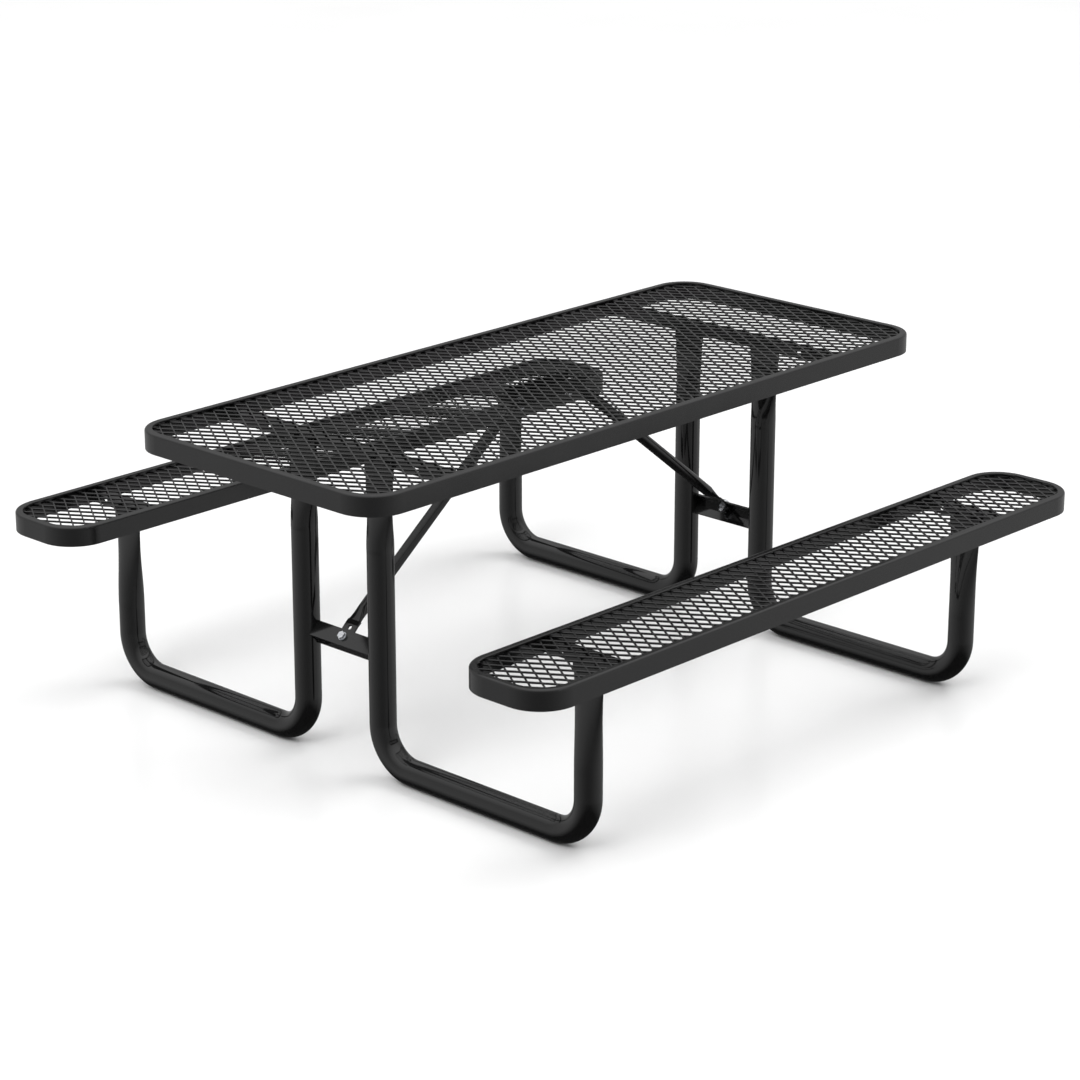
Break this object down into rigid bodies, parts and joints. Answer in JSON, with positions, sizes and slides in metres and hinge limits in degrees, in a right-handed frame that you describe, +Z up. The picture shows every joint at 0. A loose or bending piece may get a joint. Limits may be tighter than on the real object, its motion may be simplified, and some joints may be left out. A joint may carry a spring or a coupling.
{
  "type": "picnic table",
  "caption": "Rectangular steel picnic table with two attached benches, expanded metal top and seats in rounded rims, and bolted U-shaped tube legs with diagonal braces.",
  "frame": {"origin": "on the ground, in the middle of the footprint", "axes": "+X along the table, +Y across it towards the rear seat, +Z up"},
  "size_m": [1.829, 1.711, 0.754],
  "materials": {
    "rim_coating": "black semi-gloss coating",
    "mesh_coating": "black semi-gloss plastic coating over expanded steel",
    "frame_coating": "black semi-gloss coating",
    "fastener_coating": "black coating over the leg bolts",
    "zinc": "bright zinc plate"
  },
  "bodies": {
    "root": {"top_rim": "rim_coating", "top_mesh": "mesh_coating", "front_seat_rim": "rim_coating", "front_seat_mesh": "mesh_coating", "rear_seat_rim": "rim_coating", "rear_seat_mesh": "mesh_coating", "left_top_cross_member": "frame_coating", "front_left_seat_cross_member": "frame_coating", "front_left_leg": "frame_coating", "rear_left_seat_cross_member": "frame_coating", "rear_left_leg": "frame_coating", "left_angle_iron": "frame_coating", "left_brace": "frame_coating", "right_top_cross_member": "frame_coating", "front_right_seat_cross_member": "frame_coating", "front_right_leg": "frame_coating", "rear_right_seat_cross_member": "frame_coating", "rear_right_leg": "frame_coating", "right_angle_iron": "frame_coating", "right_brace": "frame_coating", "centre_bracket": "frame_coating", "leg_bolts": "fastener_coating", "leg_nuts": "fastener_coating", "leg_washers": "fastener_coating", "brace_bolts": "zinc", "brace_nuts": "zinc", "brace_washers": "zinc"}
  },
  "joints": []
}
